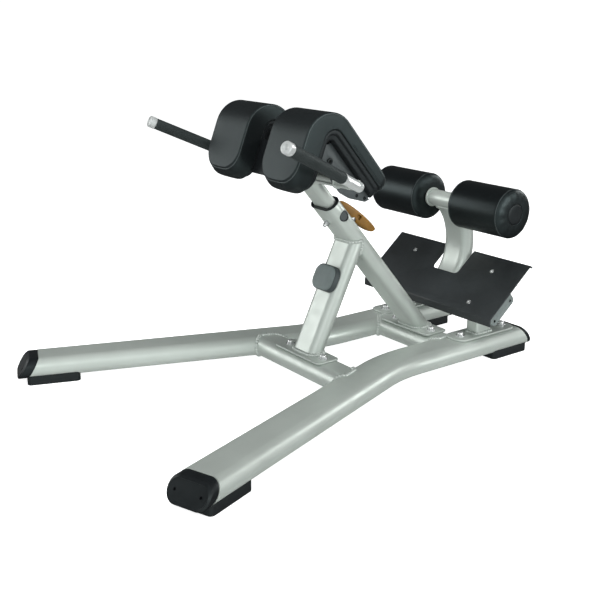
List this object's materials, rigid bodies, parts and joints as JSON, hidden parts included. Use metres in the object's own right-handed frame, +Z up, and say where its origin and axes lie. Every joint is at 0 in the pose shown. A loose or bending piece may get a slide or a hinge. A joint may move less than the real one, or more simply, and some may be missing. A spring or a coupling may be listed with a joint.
{
  "type": "roman chair",
  "caption": "Forty-five degree back extension bench: splayed tubular base, sliding hip pads with handles, spring release lever, ankle rollers and sloped footplate.",
  "frame": {"origin": "on the floor, at the middle of the footprint", "axes": "+X to the right-hand side of a user lying on the pads face down, -Y towards the head end and handles, +Y towards the footplate, +Z up"},
  "size_m": [1.0492, 1.4089, 0.7793],
  "materials": {
    "frame_paint": "satin",
    "bracket_paint": "satin",
    "tread_paint": "matte",
    "satin_aluminium": "satin",
    "bright_fastener": "polished",
    "bare_steel": "satin",
    "black_vinyl": "satin",
    "black_plastic": "matte",
    "badge_plastic": "matte",
    "grip_rubber": "matte",
    "foot_rubber": "matte",
    "lever_plastic": "satin"
  },
  "bodies": {
    "frame": {"main_tube": "frame_paint", "tube_bushing": "black_plastic", "set_screw": "bright_fastener", "plunger_housing": "bare_steel", "front_post": "frame_paint", "badge": "badge_plastic", "footplate": "tread_paint", "footplate_tray": "bracket_paint", "leg_right": "frame_paint", "end_cap_front_right": "black_plastic", "foot_front_right": "foot_rubber", "end_cap_rear_right": "black_plastic", "foot_rear_right": "foot_rubber", "side_plate_right": "frame_paint", "bolt_side_front_right": "bright_fastener", "bolt_side_rear_right": "bright_fastener", "leg_left": "frame_paint", "end_cap_front_left": "black_plastic", "foot_front_left": "foot_rubber", "end_cap_rear_left": "black_plastic", "foot_rear_left": "foot_rubber", "side_plate_left": "frame_paint", "bolt_side_front_left": "bright_fastener", "bolt_side_rear_left": "bright_fastener", "crossbar_front": "frame_paint", "crossbar_rear": "frame_paint", "base_plate_front": "frame_paint", "bolt_front_right": "bright_fastener", "bolt_front_left": "bright_fastener", "base_plate_rear": "frame_paint", "bolt_rear_right": "bright_fastener", "bolt_rear_left": "bright_fastener", "footplate_riser_right": "frame_paint", "footplate_riser_left": "frame_paint", "roller_arm": "frame_paint", "roller_cross_tube": "frame_paint", "roller_shaft": "bare_steel", "axle_collar_right": "frame_paint", "axle_collar_left": "frame_paint"},
    "carriage": {"slide_tube": "frame_paint", "pad_bracket_right": "bracket_paint", "pad_bracket_left": "bracket_paint", "wing_tube": "frame_paint", "pad_board_right": "black_plastic", "hip_pad_right": "black_vinyl", "handle_bar_right": "satin_aluminium", "handle_grip_right": "grip_rubber", "handle_tip_right": "satin_aluminium", "pad_board_left": "black_plastic", "hip_pad_left": "black_vinyl", "handle_bar_left": "satin_aluminium", "handle_grip_left": "grip_rubber", "handle_tip_left": "satin_aluminium"},
    "release_pull": {"plunger_pin": "bare_steel", "plunger_spring": "bare_steel", "release_lever": "lever_plastic"},
    "roller_right": {"roller_pad_right": "black_vinyl", "roller_hub_right": "black_plastic"},
    "roller_left": {"roller_pad_left": "black_vinyl", "roller_hub_left": "black_plastic"}
  },
  "joints": [
    {"name": "pad_height_slide", "type": "slide", "parent": "frame", "child": "carriage", "axis": [0, -0.6461, 0.7632], "range_m": [-0.04, 0.12]},
    {"name": "release_pull_slide", "type": "slide", "parent": "frame", "child": "release_pull", "axis": [0, 0.7632, 0.6461], "range_m": [0, 0.008], "stiffness_N_per_m": 1200, "springref_m": -0.004},
    {"name": "roller_turn_right", "type": "hinge", "parent": "frame", "child": "roller_right", "pos_m": [0.17, 0.5253, 0.459], "axis": [1, 0, 0], "continuous": true},
    {"name": "roller_turn_left", "type": "hinge", "parent": "frame", "child": "roller_left", "pos_m": [-0.17, 0.5253, 0.459], "axis": [1, 0, 0], "continuous": true}
  ]
}
